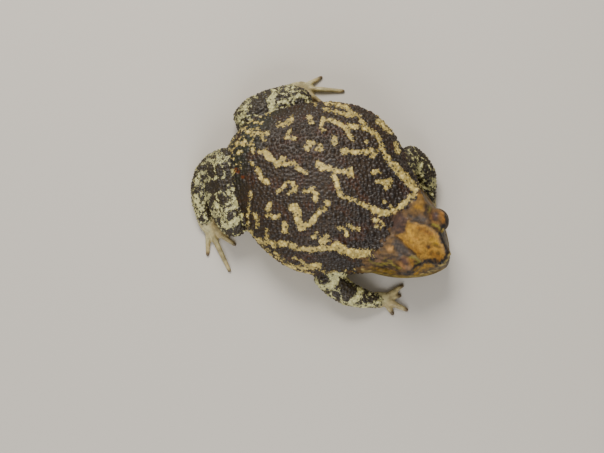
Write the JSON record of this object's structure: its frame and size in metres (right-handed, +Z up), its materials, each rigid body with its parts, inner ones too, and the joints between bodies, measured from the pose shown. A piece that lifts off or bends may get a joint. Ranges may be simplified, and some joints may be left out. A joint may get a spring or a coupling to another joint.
{
  "type": "giant toad",
  "caption": "Life-size still model of a casque-headed giant toad crouched on its belly, limbs tucked close, marbled cream on dark brown.",
  "frame": {"origin": "on the floor under the middle of the toad's box", "axes": "+X towards the snout, along the trunk; +Y towards the toad's left; +Z up"},
  "size_m": [0.1626, 0.1356, 0.0467],
  "materials": {
    "skin": "moist warty skin, near-black brown marbled with cream",
    "casque": "smooth moist skin over bone, ochre and brown",
    "feet": "moist skin, greenish cream with dark digit tips",
    "eye": "wet, glossy, near black"
  },
  "bodies": {
    "root": {"eye_left": "eye", "eye_right": "eye", "foot_left": "feet", "foot_right": "feet", "forearm_left": "skin", "forearm_right": "skin", "hand_left": "feet", "hand_right": "feet", "head": "casque", "shank_left": "skin", "shank_right": "skin", "tarsus_left": "skin", "tarsus_right": "skin", "thigh_left": "skin", "thigh_right": "skin", "trunk": "skin", "upper_arm_left": "skin", "upper_arm_right": "skin"}
  },
  "joints": []
}
